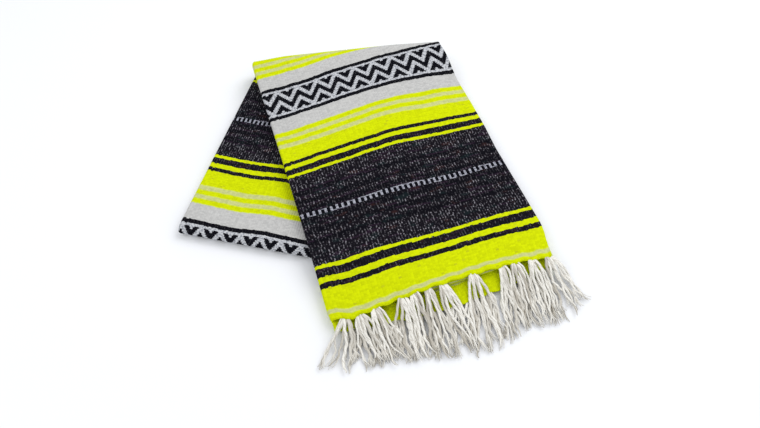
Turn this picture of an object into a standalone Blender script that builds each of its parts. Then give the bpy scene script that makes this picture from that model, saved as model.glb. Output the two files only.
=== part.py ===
"""A woven striped blanket, folded in four across its width, in half along its length and
once more along a skewed line, so that two strips of eight layers lie on each other.

Metres, +Z up, the fringe towards -Y. The outer cloth and the cloth that shows on the lower
strip are thin walls, the layers between them share one solid, and both hems carry a fringe.
"""

import math

import bpy
from mathutils import Vector

# The cloth and its stacks
STRIP_WIDTH = 0.320  # a quarter of the blanket's 1.28 m width
CLOTH = 0.0022  # one woven layer
GAP = 0.0003  # between pieces that touch
UPPER_STACK = 0.0195  # eight layers and the air between them
LOWER_STACK = 0.0180  # the same eight layers, pressed by the strip that lies on them
HEM_STACK = 0.0084  # the four layers of the under hem

# The plan of the folded blanket
HEM_LEFT = Vector((-0.0495, -0.2262))  # left end of the upper hem
HEM_ANGLE = math.radians(18.9)  # direction of the weft in the upper strip
LOWER_ANGLE = math.radians(-14.1)  # direction of the weft in the lower strip
FOLD_REACH_LEFT = 0.4825  # hem to skewed fold along the upper strip's left edge
FOLD_REACH_RIGHT = 0.4270  # and along its right edge
MIDDLE_LEFT = Vector((-0.2785, -0.0638))  # where the blanket's middle turns under, left end

# The two folds
FOLD_RADIUS = 0.0235  # outside radius of the skewed fold
FOLD_DROP_RIGHT = 0.0015  # the radius shrinks by this much towards the right end
FOLD_DROP_LEFT = 0.0020  # and by this much towards the left end
RIGHT_END = 0.100  # the lengths of the fold over which it shrinks
LEFT_END = 0.060
MIDDLE_RADIUS = LOWER_STACK / 2  # half the height of the fold at the blanket's middle
MIDDLE_REACH_LEFT = 0.0205  # how far that fold bulges at its left end
MIDDLE_REACH_RIGHT = 0.0095  # and at its right end
FOLD_EASE = 0.070  # over this length the upper strip comes level from the fold
SPRING_LENGTH = 0.095  # the upper strip stands off the lower one over about this length

# How far the upper strip's sides lie outside the blanket's quarter, by the place from the hem
LEFT_OUT = [
    (0.000, 0.0030), (0.012, 0.0062), (0.026, 0.0061), (0.055, 0.0050), (0.100, 0.0041),
    (0.200, 0.0022), (0.300, 0.0009), (0.420, 0.0),
]
RIGHT_OUT = [
    (0.000, -0.0020), (0.012, -0.0005), (0.026, 0.0022), (0.040, 0.0062), (0.055, 0.0075),
    (0.100, 0.0067), (0.200, 0.0055), (0.250, 0.0082), (0.300, 0.0085), (0.350, 0.0058),
    (0.400, 0.0025), (0.427, 0.0),
]

# How the upper strip comes down beside the lower one
UNDER_CLEAR = 0.0185  # its underside starts down this far outside the lower strip's edge
DROP_UNDER = 0.030  # and comes down over this width
DROP_OUT = 0.085  # its top surface starts this far outside the lower strip's edge
DROP_IN = 0.060  # and is up this far inside it
CORNER_SOFTNESS = 90.0  # higher is a sharper corner
SIDE_DROOP = 0.0030  # how far the upper strip's sides sag
SIDE_DROOP_WIDTH = 0.055

SLOPE_STEP = 0.001
TUCK = 0.0028  # depth of the hidden layers below the outer cloth's face
CORE_LEAST = 0.0012  # they are at least this thick

# The grid that the upper strip and the layers under it share
NEAR_ROWS = 13
FAR_ROWS = 12
NEAR_SHARE = 0.42  # the first rows, set closer, reach this far towards the fold
FOLD_ROWS = 9
COLUMNS = 15

# The folded edges along both sides of a strip
LEFT_NOSE = 0.0047  # radius of the four-layer fold
RIGHT_NOSE = 0.0030  # radius of the two-layer fold
NOSE_TURN = math.radians(150)
NOSE_TURN_MIDDLE = math.radians(90)  # at the blanket's middle, where the edges nest

# Rows along the lower strip, as shares of its length from the skewed fold to the middle
BACK_ROWS = (0.45, 0.90)
FACE_ROWS = (0.012, 0.40, 0.80, 0.90, 0.97)
MIDDLE_ROWS = 8
MIDDLE_END = 0.903
CORE_ROWS = (0.5, 1.0)
NEST_START = 0.80  # the side edges flatten from here on, to nest at the middle
NEST_LENGTH = 0.15
NESTED_INSET = 0.0046  # how far the layers inside the middle fold stay from its two ends
CORE_END_TURNS = (math.radians(40), math.radians(75))

# The under hem, which reaches further than the upper one
UNDER_HEM_ENDS = 0.012
UNDER_HEM_BULGE = 0.016
UNDER_HEM_START = 0.0036
HEM_DROOP = 0.0012
HEM_TUCK = 0.0030
HEM_TURN = math.radians(80)
CORE_HEM = 0.0040  # where the hidden layers of the top strip end
CORE_STEP = 0.0001

# The layers inside: shares of the depth where each edge starts and ends, how far it is
# set in, its points, and how far it is set in where the outer cloth also wraps the lower half
BUMP_TURN = math.radians(70)
RIGHT_LAYERS = [
    (0.02, 0.22, 0.0048, 2, 0.0048),
    (0.25, 0.37, 0.0014, 3, 0.0040),
    (0.38, 0.50, 0.0008, 3, 0.0008),
    (0.51, 0.63, 0.0016, 3, 0.0016),
    (0.64, 0.76, 0.0010, 3, 0.0040),
    (0.78, 0.98, 0.0012, 2, 0.0048),
]
LEFT_LAYERS = [
    (0.52, 0.98, 0.0008, 5, 0.0040),
    (0.02, 0.48, 0.0043, 3, 0.0043),
]

# The fringe
HEAD_WIDTH = 0.0095
STRIP_DEPTH = 0.0025
UPPER_FRINGE = {"name": "fringe_upper", "columns": 4, "rows": 2, "reach": 1.0, "over": True}
UNDER_FRINGE = {"name": "fringe_under", "columns": 5, "rows": 1, "reach": 0.96, "over": False}
# Tassels of the upper hem: place of the root, middle of the tips and width at the tips
UPPER_TASSELS = [
    (0.012, -0.021, 0.048), (0.036, 0.028, 0.026), (0.056, 0.066, 0.022), (0.098, 0.088, 0.018),
    (0.115, 0.107, 0.016), (0.134, 0.128, 0.020), (0.157, 0.153, 0.022), (0.201, 0.186, 0.030),
    (0.244, 0.218, 0.024), (0.263, 0.245, 0.020), (0.288, 0.271, 0.022), (0.313, 0.304, 0.034),
]
# Those of the under hem are even
UNDER_TASSELS = 11
UNDER_PITCH = 0.0265
UNDER_FIRST = 0.0272
UNDER_FAN = 0.0235
# Sideways shift of their tips, by the place of the root
TIP_SHIFT = [
    (0.00, -0.036), (0.03, -0.016), (0.06, -0.012), (0.10, -0.020), (0.20, -0.026),
    (0.26, -0.018), (0.32, 0.004),
]
# How far the tips reach from the hem, by the place of the tips
TIP_REACH = [
    (-0.05, 0.056), (0.00, 0.086), (0.04, 0.091), (0.12, 0.094), (0.18, 0.105),
    (0.25, 0.106), (0.30, 0.103), (0.33, 0.082),
]
UNEVEN = 0.035  # the tips' share of their reach varies by twice this
UNEVEN_TURN = 2.1
FAN_POWER = 1.4  # over 1, a tassel opens mostly near its tips
STRAND = 0.0016
STRAND_FALL = 0.034  # an under strand is down on the table this far beyond its hem
STRAND_STATIONS = (0.10, 0.24, 0.40, 0.62, 1.0)
OVER_FALL = 0.016
UNDER_REST = 0.0013  # centre height of the strands on the table
OVER_UNDER = 0.0028  # an upper strand lies this far above an under one
ROW_RISE = 0.0022

WEFT = Vector((math.cos(HEM_ANGLE), math.sin(HEM_ANGLE)))
WARP = Vector((-WEFT.y, WEFT.x))
LOWER_WEFT = Vector((math.cos(LOWER_ANGLE), math.sin(LOWER_ANGLE)))
FOLD_LEFT = HEM_LEFT + WARP * FOLD_REACH_LEFT
FOLD_RIGHT = HEM_LEFT + WEFT * STRIP_WIDTH + WARP * FOLD_REACH_RIGHT
FOLD_LINE = (FOLD_RIGHT - FOLD_LEFT).normalized()
FOLD_OUT = Vector((-FOLD_LINE.y, FOLD_LINE.x))
MIDDLE_RIGHT = MIDDLE_LEFT + LOWER_WEFT * STRIP_WIDTH
MIDDLE_OUT = Vector((LOWER_WEFT.y, -LOWER_WEFT.x))
LOWER_SIDE = (FOLD_RIGHT - MIDDLE_RIGHT).normalized()


def smooth(x):
    """0 below 0, 1 above 1 and a soft step between."""
    x = min(1.0, max(0.0, x))
    return x * x * (3 - 2 * x)


def mix(a, b, share):
    return a + (b - a) * share


def spaced(start, end, count):
    return [mix(start, end, i / (count - 1)) for i in range(count)]


def read(table, x):
    """The value at x in a table of (place, value) rows, with straight lines between them."""
    low = table[0]
    for high in table[1:]:
        if x < high[0]:
            break
        low = high
    if low is high:
        return low[1]
    return mix(low[1], high[1], max(0.0, (x - low[0]) / (high[0] - low[0])))


# The surfaces


def fold_point(w):
    return mix(FOLD_LEFT, FOLD_RIGHT, w / STRIP_WIDTH)


def fold_radius(w):
    right = smooth((w - STRIP_WIDTH + RIGHT_END) / RIGHT_END)
    left = smooth((LEFT_END - w) / LEFT_END)
    return FOLD_RADIUS - FOLD_DROP_RIGHT * right - FOLD_DROP_LEFT * left


def fold_reach(w):
    return mix(FOLD_REACH_LEFT, FOLD_REACH_RIGHT, w / STRIP_WIDTH)


def middle_reach(w):
    return mix(MIDDLE_REACH_LEFT, MIDDLE_REACH_RIGHT, w / STRIP_WIDTH)


def inside_lower(plan):
    """How far a plan point is inside the lower strip's right side and its middle fold."""
    from_side = plan - MIDDLE_RIGHT
    side = LOWER_SIDE.x * from_side.y - LOWER_SIDE.y * from_side.x
    along = min(STRIP_WIDTH, max(0.0, (plan - MIDDLE_LEFT).dot(LOWER_WEFT)))
    middle = middle_reach(along) - (plan - MIDDLE_LEFT).dot(MIDDLE_OUT)
    k = CORNER_SOFTNESS
    return -math.log(math.exp(-k * side) + math.exp(-k * middle)) / k


def flared(s, w):
    """Where w lies once the strip's sides are drawn out or in."""
    share = w / STRIP_WIDTH
    return w - read(LEFT_OUT, s) * (1 - share) + read(RIGHT_OUT, s) * share


def upper_heights(s, w):
    """Plan point, underside and top of the upper strip, s from the hem and w from its left side."""
    plan = HEM_LEFT + WEFT * flared(s, w) + WARP * s
    from_fold = max(0.0, (fold_point(w) - plan).dot(FOLD_OUT))
    hold = 1 - smooth(from_fold / FOLD_EASE)
    inside = inside_lower(plan)
    under = mix(smooth((inside + UNDER_CLEAR + DROP_UNDER) / DROP_UNDER), 1.0, hold)
    over = mix(smooth((inside + DROP_OUT) / (DROP_OUT + DROP_IN)), 1.0, hold)
    spring = 2 * fold_radius(w) - UPPER_STACK - LOWER_STACK - GAP
    lift = LOWER_STACK + GAP + spring * math.exp(-((from_fold / SPRING_LENGTH) ** 2))
    edge = min(w, STRIP_WIDTH - w)
    droop = SIDE_DROOP * (1 - smooth(edge / SIDE_DROOP_WIDTH)) * (1 - hold)
    return plan, lift * under, lift * over + UPPER_STACK - droop


def upper_slant(s, w):
    """How much further apart than square to it two levels of the upper strip are, upright."""
    step = SLOPE_STEP
    here = upper_heights(s, w)[2]
    along = (upper_heights(s + step, w)[2] - here) / step
    across = (upper_heights(s, w + step)[2] - here) / step
    return math.sqrt(1 + along**2 + across**2)


def upper_point(s, w, depth):
    """A point that lies depth below the top of the upper strip."""
    plan, low, high = upper_heights(s, w)
    share = depth / UPPER_STACK
    return Vector((plan.x, plan.y, mix(high, low, share)))


def core_point(s, w, share):
    """A point of the hidden layers: share 0 is just inside the outer cloth, 1 the underside."""
    plan, low, high = upper_heights(s, w)
    top = high - TUCK * upper_slant(s, w)
    return Vector((plan.x, plan.y, mix(top, min(low, top - CORE_LEAST), share)))


def fold_arc_point(turn, w, depth):
    """A point on the skewed fold: turn 0 is its top and 180 degrees is the table."""
    radius = fold_radius(w)
    r = radius - depth
    plan = fold_point(w) + FOLD_OUT * (r * math.sin(turn))
    return Vector((plan.x, plan.y, radius + r * math.cos(turn)))


def lower_point(v, w, height):
    """A point of the lower strip: v is 0 at the skewed fold and 1 at the blanket's middle."""
    plan = mix(fold_point(w), MIDDLE_LEFT + LOWER_WEFT * w, v)
    return Vector((plan.x, plan.y, height))


def middle_arc_point(turn, w, depth):
    """A point on the middle fold: turn 0 is the lower strip's top and 180 degrees its underside."""
    reach = (middle_reach(w) - depth) * math.sin(turn)
    plan = MIDDLE_LEFT + LOWER_WEFT * w + MIDDLE_OUT * reach
    return Vector((plan.x, plan.y, MIDDLE_RADIUS + (MIDDLE_RADIUS - depth) * math.cos(turn)))


def under_hem_edge(w):
    return -UNDER_HEM_ENDS - UNDER_HEM_BULGE * math.sin(math.pi * w / STRIP_WIDTH)


# Sections across a strip, as (w, depth) pairs


def nose(radius, turn, steps):
    """From the end of a rounded edge up to where it meets the flat top."""
    return [
        (radius - radius * math.sin(a), radius - radius * math.cos(a))
        for a in spaced(turn, 0.0, steps)
    ]


def wall_section(turn):
    left = nose(LEFT_NOSE, turn, 5)
    right = [(STRIP_WIDTH - w, d) for w, d in reversed(nose(RIGHT_NOSE, turn, 4))]
    return left + [(w, 0.0) for w in FLAT_COLUMNS] + right


def bump(side, low, high, inset, steps):
    """A rounded layer edge between two shares of the depth; side is 0 or the strip's width."""
    middle, half = (low + high) / 2, (high - low) / 2
    points = []
    for angle in spaced(-BUMP_TURN, BUMP_TURN, steps):
        w = inset + half * UPPER_STACK * (1 - math.cos(angle))
        points.append((abs(side - w), middle + half * math.sin(angle)))
    return points


def core_section(covered, least=0.0):
    """The hidden layers, depth 0 to 1; covered is 1 where a wall also wraps the lower half."""
    top = [(w, 0.0) for w in FLAT_COLUMNS]
    bottom = [(w, 1.0) for w in reversed(FLAT_COLUMNS)]
    right = []
    for low, high, inset, steps, wrapped in RIGHT_LAYERS:
        right += bump(STRIP_WIDTH, low, high, max(least, mix(inset, wrapped, covered)), steps)
    left = []
    for low, high, inset, steps, wrapped in LEFT_LAYERS:
        left += bump(0.0, low, high, max(least, mix(inset, wrapped, covered)), steps)[::-1]
    return top + right + bottom + left


# Meshes


def material(name, colour, roughness):
    made = bpy.data.materials.new(name)
    made.use_nodes = True
    shader = made.node_tree.nodes["Principled BSDF"]
    shader.inputs["Base Color"].default_value = (*colour, 1.0)
    shader.inputs["Roughness"].default_value = roughness
    shader.inputs["Metallic"].default_value = 0.0
    return made


def mesh_object(name, points, faces, collection, finish):
    mesh = bpy.data.meshes.new(name)
    mesh.from_pydata(points, [], faces)
    mesh.materials.append(finish)
    mesh.validate()
    mesh.shade_smooth()
    made = bpy.data.objects.new(name, mesh)
    collection.objects.link(made)
    return made


def grid_faces(rows, columns):
    faces = []
    for i in range(rows - 1):
        for j in range(columns - 1):
            a = i * columns + j
            faces.append((a, a + 1, a + columns + 1, a + columns))
    return faces


FLAT_COLUMNS = spaced(LEFT_NOSE, STRIP_WIDTH - RIGHT_NOSE, COLUMNS)[1:-1]
UPPER_ROWS = spaced(0.0, NEAR_SHARE, NEAR_ROWS) + spaced(NEAR_SHARE, 1.0, FAR_ROWS)[1:-1]
FOLD_TURNS = spaced(0.0, math.pi, FOLD_ROWS)


def wall(name, rows, collection, finish):
    """An open surface of the cloth's outer face, thickened inwards."""
    points = [p for row in rows for p in row]
    made = mesh_object(name, points, grid_faces(len(rows), len(rows[0])), collection, finish)
    thick = made.modifiers.new("cloth", "SOLIDIFY")
    thick.thickness = CLOTH
    thick.offset = -1.0
    thick.use_even_offset = True
    return made


def loft(name, sections, collection, finish):
    """A closed body through sections of equally many points."""
    count = len(sections[0])
    points = [p for section in sections for p in section]
    faces = []
    for i in range(len(sections) - 1):
        for j in range(count):
            k = (j + 1) % count
            faces.append((i * count + j, i * count + k, (i + 1) * count + k, (i + 1) * count + j))
    last = (len(sections) - 1) * count
    faces.append(tuple(reversed(range(count))))
    faces.append(tuple(last + j for j in range(count)))
    return mesh_object(name, points, faces, collection, finish)


# The pieces


def upper_cloth(collection, finish):
    """The outer layer: hem, upper strip, round the skewed fold and back along the table."""
    section = wall_section(NOSE_TURN)
    rows = []
    for v in UPPER_ROWS:
        rows.append([upper_point(v * fold_reach(w), w, d) for w, d in section])
    for turn in FOLD_TURNS:
        rows.append([fold_arc_point(turn, w, d) for w, d in section])
    for v in BACK_ROWS:
        rows.append([lower_point(v, w, d) for w, d in section])
    return wall("upper_cloth", rows, collection, finish)


def lower_cloth(collection, finish):
    """The layer that shows on the lower strip, and its turn under at the blanket's middle."""
    rows = []
    for v in FACE_ROWS:
        turn = mix(NOSE_TURN, NOSE_TURN_MIDDLE, smooth((v - NEST_START) / NEST_LENGTH))
        rows.append([lower_point(v, w, LOWER_STACK - d) for w, d in wall_section(turn)])
    edge = wall_section(NOSE_TURN_MIDDLE)
    for turn in spaced(0.0, math.pi, MIDDLE_ROWS):
        rows.append([middle_arc_point(turn, w, d) for w, d in edge])
    rows.append([lower_point(MIDDLE_END, w, d) for w, d in edge])
    return wall("lower_cloth", rows[::-1], collection, finish)


def hem_point(s, w, height):
    plan = HEM_LEFT + WEFT * flared(0.0, w) + WARP * s
    return Vector((plan.x, plan.y, height))


def hem_cloth(collection, finish):
    """The top layer of the under hem, which shows below the upper one."""
    rows = []
    for v in spaced(1.0, 0.0, 4):
        row = []
        for w, d in wall_section(HEM_TURN):
            s = mix(UNDER_HEM_START, under_hem_edge(w), v)
            row.append(hem_point(s, w, HEM_STACK - HEM_DROOP * v - d))
        rows.append(row)
    return wall("hem_cloth", rows, collection, finish)


def folded_layers(collection, finish):
    """All layers between the walls, from the under hem round the skewed fold to the middle."""
    open_edge = core_section(0.0)
    sections = []
    for v in spaced(1.0, 0.0, 3):
        row = []
        for w, d in open_edge:
            s = mix(CORE_HEM - CORE_STEP, under_hem_edge(w) + CORE_HEM, v)
            top = HEM_STACK - HEM_DROOP * v - HEM_TUCK
            row.append(hem_point(s, w, top * (1 - d)))
        sections.append(row)
    for v in UPPER_ROWS:
        row = []
        for w, d in open_edge:
            row.append(core_point(max(CORE_HEM, v * fold_reach(w)), w, d))
        sections.append(row)
    for turn in FOLD_TURNS:
        share = smooth(turn / math.pi)
        inner = mix(UPPER_STACK, LOWER_STACK - TUCK, share)
        section = core_section(share)
        sections.append([fold_arc_point(turn, w, mix(TUCK, inner, d)) for w, d in section])
    wrapped = core_section(1.0)
    for v in CORE_ROWS:
        sections.append(
            [lower_point(v, w, mix(TUCK, LOWER_STACK - TUCK, d)) for w, d in wrapped]
        )
    end_radius = MIDDLE_RADIUS - TUCK
    nested = core_section(1.0, NESTED_INSET)
    for turn in CORE_END_TURNS:
        row = []
        for w, d in nested:
            reach = (middle_reach(w) - TUCK) * math.sin(turn)
            plan = MIDDLE_LEFT + LOWER_WEFT * w + MIDDLE_OUT * reach
            height = MIDDLE_RADIUS + (2 * d - 1) * end_radius * math.cos(turn)
            row.append(Vector((plan.x, plan.y, height)))
        sections.append(row)
    return loft("folded_layers", sections, collection, finish)


# The fringe


def under_strand_height(beyond):
    """Centre height of an under strand, beyond the edge of the under hem."""
    return mix(HEM_STACK - HEM_DROOP - CLOTH / 2, UNDER_REST, smooth(beyond / STRAND_FALL))


def strand_places(kind, root, tip_w, row, share):
    """Places (w, s, height) down a strand, after its root (w, s, height) on the backing strip."""
    w0, s0, z0 = root
    length = share * read(TIP_REACH, tip_w) + s0
    places = []
    for u in STRAND_STATIONS:
        w = mix(w0, tip_w, u**FAN_POWER)
        s = s0 - length * u
        z = under_strand_height(under_hem_edge(w) - s)
        if kind["over"]:
            z = mix(z0, z + OVER_UNDER + row * ROW_RISE, smooth((s0 - s) / OVER_FALL))
        places.append((w, s, z))
    return places


def backing_cells(tassels, columns):
    """Stretches of a backing strip: (left, right, the place of the tips or None)."""
    cells = []
    place = GAP
    for root, tips, fan in tassels:
        cuts = spaced(root - HEAD_WIDTH / 2, root + HEAD_WIDTH / 2, columns + 1)
        cells.append((place, cuts[0], None))
        for left, right in zip(cuts, cuts[1:]):
            across = ((left + right) / 2 - root) / HEAD_WIDTH
            cells.append((left, right, tips + across * fan))
        place = cuts[-1]
    return cells + [(place, STRIP_WIDTH - GAP, None)]


def backing_points(cells, rows, edge, height):
    """Corners of the strip, from the lowest up: at each cut those of its back, then its front."""
    points = []
    for w in [cells[0][0]] + [right for _, right, _ in cells]:
        for depth in (0.0, STRIP_DEPTH):
            for k in range(rows + 1):
                level = height(w) - CLOTH * (1 - k / rows)
                points.append(hem_point(edge(w) - GAP - depth, w, level))
    return points


def backing_corner(cut, front, level, rows):
    return (2 * cut + front) * (rows + 1) + level


def backing_ring(i, low, rows):
    """The four corners of a stretch's front, between one level and the next."""
    places = ((i, low), (i + 1, low), (i + 1, low + 1), (i, low + 1))
    return [backing_corner(cut, 1, level, rows) for cut, level in places]


def backing_faces(count, rows):
    """The back, top, bottom and ends of a strip of so many stretches."""
    sides = [(0, k, 0, k + 1) for k in range(rows)] + [(0, rows, 1, rows), (1, 0, 0, 0)]
    faces = []
    for i in range(count):
        for front, level, other_front, other in sides:
            a = backing_corner(i, front, level, rows)
            b = backing_corner(i, other_front, other, rows)
            c = backing_corner(i + 1, other_front, other, rows)
            d = backing_corner(i + 1, front, level, rows)
            faces.append((a, b, c, d))
    for cut in (0, count):
        for k in range(rows):
            places = ((1, k), (1, k + 1), (0, k + 1), (0, k))
            face = tuple(backing_corner(cut, front, level, rows) for front, level in places)
            faces.append(face if cut == 0 else face[::-1])
    return faces


def grow_strand(points, faces, ring, places):
    """Carry a ring of four corners down a strand and close its tip."""
    half = STRAND / 2
    for w, s, z in places:
        first = len(points)
        for side, up in ((-half, -half), (half, -half), (half, half), (-half, half)):
            points.append(hem_point(s, w + side, z + up))
        new = list(range(first, first + 4))
        for a in range(4):
            b = (a + 1) % 4
            faces.append((ring[a], ring[b], new[b], new[a]))
        ring = new
    faces.append(tuple(ring))


def fringe(kind, tassels, edge, height, collection, finish):
    """Strands in tassels that grow out of a narrow strip along a hem."""
    rows = kind["rows"]
    cells = backing_cells(tassels, kind["columns"])
    points = backing_points(cells, rows, edge, height)
    faces = backing_faces(len(cells), rows)
    for i, (left, right, tip_w) in enumerate(cells):
        for k in range(rows):
            ring = backing_ring(i, k, rows)
            if tip_w is None:
                faces.append(tuple(ring))
                continue
            middle = (left + right) / 2
            down = CLOTH * (rows - k - 0.5) / rows
            root = (middle, edge(middle) - GAP - STRIP_DEPTH, height(middle) - down)
            share = kind["reach"] - UNEVEN * (1 + math.cos(UNEVEN_TURN * (i + 2 * k)))
            grow_strand(points, faces, ring, strand_places(kind, root, tip_w, k, share))
    return mesh_object(kind["name"], points, faces, collection, finish)


def under_tassels():
    roots = [UNDER_FIRST + UNDER_PITCH * i for i in range(UNDER_TASSELS)]
    return [(root, root + read(TIP_SHIFT, root), UNDER_FAN) for root in roots]


def upper_hem_height(w):
    return upper_heights(0.0, w)[2]


def under_hem_height(w):
    return HEM_STACK - HEM_DROOP


def centre_on_table(collection):
    """Move every piece so that the origin is under the middle of them all."""
    points = [v.co for piece in collection.objects for v in piece.data.vertices]
    for axis in (0, 1):
        middle = (min(p[axis] for p in points) + max(p[axis] for p in points)) / 2
        for piece in collection.objects:
            piece.location[axis] = -middle


def main():
    for old in list(bpy.data.objects):
        bpy.data.objects.remove(old)
    collection = bpy.data.collections.new("folded_blanket")
    bpy.context.scene.collection.children.link(collection)
    yellow = material("neon_cloth", (0.66, 0.80, 0.01), 0.9)
    charcoal = material("charcoal_cloth", (0.02, 0.02, 0.028), 0.92)
    cream = material("cotton_yarn", (0.62, 0.59, 0.52), 0.9)
    upper_cloth(collection, yellow)
    lower_cloth(collection, charcoal)
    hem_cloth(collection, yellow)
    folded_layers(collection, charcoal)
    fringe(UPPER_FRINGE, UPPER_TASSELS, lambda w: 0.0, upper_hem_height, collection, cream)
    fringe(UNDER_FRINGE, under_tassels(), under_hem_edge, under_hem_height, collection, cream)
    centre_on_table(collection)


main()
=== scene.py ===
"""The looks of the folded blanket: its striped weave, the layered edges and the yarn fringe.

Metres, +Z up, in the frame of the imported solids.
"""

import math
import random

import bpy
import numpy as np
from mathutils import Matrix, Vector

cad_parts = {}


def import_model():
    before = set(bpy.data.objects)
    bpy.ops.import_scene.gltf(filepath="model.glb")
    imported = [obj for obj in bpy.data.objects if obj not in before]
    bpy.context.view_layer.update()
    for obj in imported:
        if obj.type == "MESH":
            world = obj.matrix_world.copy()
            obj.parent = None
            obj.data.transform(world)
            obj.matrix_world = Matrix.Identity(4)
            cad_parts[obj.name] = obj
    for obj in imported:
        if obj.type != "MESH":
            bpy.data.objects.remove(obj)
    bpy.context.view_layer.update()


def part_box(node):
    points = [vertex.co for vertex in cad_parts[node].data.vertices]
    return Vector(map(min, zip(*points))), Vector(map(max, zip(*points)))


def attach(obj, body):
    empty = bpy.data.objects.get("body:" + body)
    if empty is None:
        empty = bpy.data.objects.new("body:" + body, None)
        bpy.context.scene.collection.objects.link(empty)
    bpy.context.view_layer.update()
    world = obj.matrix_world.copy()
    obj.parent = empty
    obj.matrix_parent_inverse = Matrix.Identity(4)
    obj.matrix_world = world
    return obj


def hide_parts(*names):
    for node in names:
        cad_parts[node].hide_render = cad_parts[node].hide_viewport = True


# The folded cloth, as the solids have it
STRIP_WIDTH = 0.320
CLOTH = 0.0022
GAP = 0.0003
UPPER_STACK = 0.0195
LOWER_STACK = 0.0180
HEM_STACK = 0.0084
HEM_LEFT = np.array([-0.0495, -0.2262])
HEM_ANGLE = math.radians(18.9)
LOWER_ANGLE = math.radians(-14.1)
FOLD_REACH_LEFT = 0.4825
FOLD_REACH_RIGHT = 0.4270
MIDDLE_LEFT = np.array([-0.2785, -0.0638])
FOLD_RADIUS = 0.0235
FOLD_DROP_RIGHT = 0.0015
FOLD_DROP_LEFT = 0.0020
RIGHT_END = 0.100
LEFT_END = 0.060
MIDDLE_RADIUS = LOWER_STACK / 2
MIDDLE_REACH_LEFT = 0.0205
MIDDLE_REACH_RIGHT = 0.0095
FOLD_EASE = 0.070
SPRING_LENGTH = 0.095
# How far the upper strip's sides lie outside the blanket's quarter, by the place from the hem
LEFT_OUT = [
    (0.000, 0.0030), (0.012, 0.0062), (0.026, 0.0061), (0.055, 0.0050), (0.100, 0.0041),
    (0.200, 0.0022), (0.300, 0.0009), (0.420, 0.0),
]
RIGHT_OUT = [
    (0.000, -0.0020), (0.012, -0.0005), (0.026, 0.0022), (0.040, 0.0062), (0.055, 0.0075),
    (0.100, 0.0067), (0.200, 0.0055), (0.250, 0.0082), (0.300, 0.0085), (0.350, 0.0058),
    (0.400, 0.0025), (0.427, 0.0),
]
UNDER_CLEAR = 0.006
DROP_UNDER = 0.034
DROP_OUT = 0.085
DROP_IN = 0.060
CORNER_SOFTNESS = 90.0
SIDE_DROOP = 0.0030
SIDE_DROOP_WIDTH = 0.055
TUCK = 0.0027
LEAST_CORE = 0.001  # the least thickness of what lies under the upper strip's wall
LEFT_NOSE = 0.0047
RIGHT_NOSE = 0.0030
NOSE_TURN = math.radians(150)
NOSE_TURN_MIDDLE = math.radians(90)
UNDER_HEM_ENDS = 0.012
UNDER_HEM_BULGE = 0.016
HEM_DROOP = 0.0012
SIDE_ROUNDING = 0.006  # the sides' tables are rounded over this length
SCALLOP = 0.0265  # from one scallop of a hem to the next

# The weave
PERIOD = 0.4658  # from one charcoal block to the next
BLOCK = 0.1630  # middle of the first charcoal block, from the hem
BLOCK_ON_LOWER = np.array([-0.2275, 0.1374])  # middle of the lower strip's block, left side
RIB = 0.00417  # eight ribs to a zigzag
RIB_MIDDLE = 0.0080  # where the middle of a rib lies
RIB_DEPTH = 0.0003
RIB_ROUND = 1.3  # above one, the groove between two ribs is narrower than the rib
PICK = 0.00230
JOG = 0.38  # greatest share of a pick by which a rib is set off

WEFT = np.array([math.cos(HEM_ANGLE), math.sin(HEM_ANGLE)])
WARP = np.array([-WEFT[1], WEFT[0]])
LOWER_WEFT = np.array([math.cos(LOWER_ANGLE), math.sin(LOWER_ANGLE)])
MIDDLE_OUT = np.array([LOWER_WEFT[1], -LOWER_WEFT[0]])
FOLD_LEFT = HEM_LEFT + WARP * FOLD_REACH_LEFT
FOLD_RIGHT = HEM_LEFT + WEFT * STRIP_WIDTH + WARP * FOLD_REACH_RIGHT
FOLD_LINE = (FOLD_RIGHT - FOLD_LEFT) / np.linalg.norm(FOLD_RIGHT - FOLD_LEFT)
FOLD_OUT = np.array([-FOLD_LINE[1], FOLD_LINE[0]])
MIDDLE_RIGHT = MIDDLE_LEFT + LOWER_WEFT * STRIP_WIDTH
LOWER_SIDE = (FOLD_RIGHT - MIDDLE_RIGHT) / np.linalg.norm(FOLD_RIGHT - MIDDLE_RIGHT)


def smooth(x):
    x = np.clip(x, 0.0, 1.0)
    return x * x * (3 - 2 * x)


def mix(a, b, share):
    return a + (b - a) * share


def read(table, x):
    """The value at x in a table of (place, value) rows."""
    places, values = zip(*table)
    return np.interp(x, places, values)


def rounded(table, x, reach):
    """The same with its corners rounded."""
    return (read(table, x - reach) + 2 * read(table, x) + read(table, x + reach)) / 4


def stack(x, y, z):
    x, y, z = np.broadcast_arrays(x, y, z)
    return np.stack([x, y, z], axis=-1)


# The surfaces, as functions of arrays


def fold_point(w):
    return FOLD_LEFT + (FOLD_RIGHT - FOLD_LEFT) * (w / STRIP_WIDTH)[..., None]


def fold_radius(w):
    right = smooth((w - STRIP_WIDTH + RIGHT_END) / RIGHT_END)
    left = smooth((LEFT_END - w) / LEFT_END)
    return FOLD_RADIUS - FOLD_DROP_RIGHT * right - FOLD_DROP_LEFT * left


def fold_reach(w):
    return mix(FOLD_REACH_LEFT, FOLD_REACH_RIGHT, w / STRIP_WIDTH)


def middle_reach(w):
    return mix(MIDDLE_REACH_LEFT, MIDDLE_REACH_RIGHT, np.clip(w / STRIP_WIDTH, 0, 1))


def inside_lower(plan):
    from_side = plan - MIDDLE_RIGHT
    side = LOWER_SIDE[0] * from_side[..., 1] - LOWER_SIDE[1] * from_side[..., 0]
    from_middle = plan - MIDDLE_LEFT
    middle = middle_reach(from_middle @ LOWER_WEFT) - from_middle @ MIDDLE_OUT
    k = CORNER_SOFTNESS
    return -np.log(np.exp(-k * side) + np.exp(-k * middle)) / k


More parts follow.
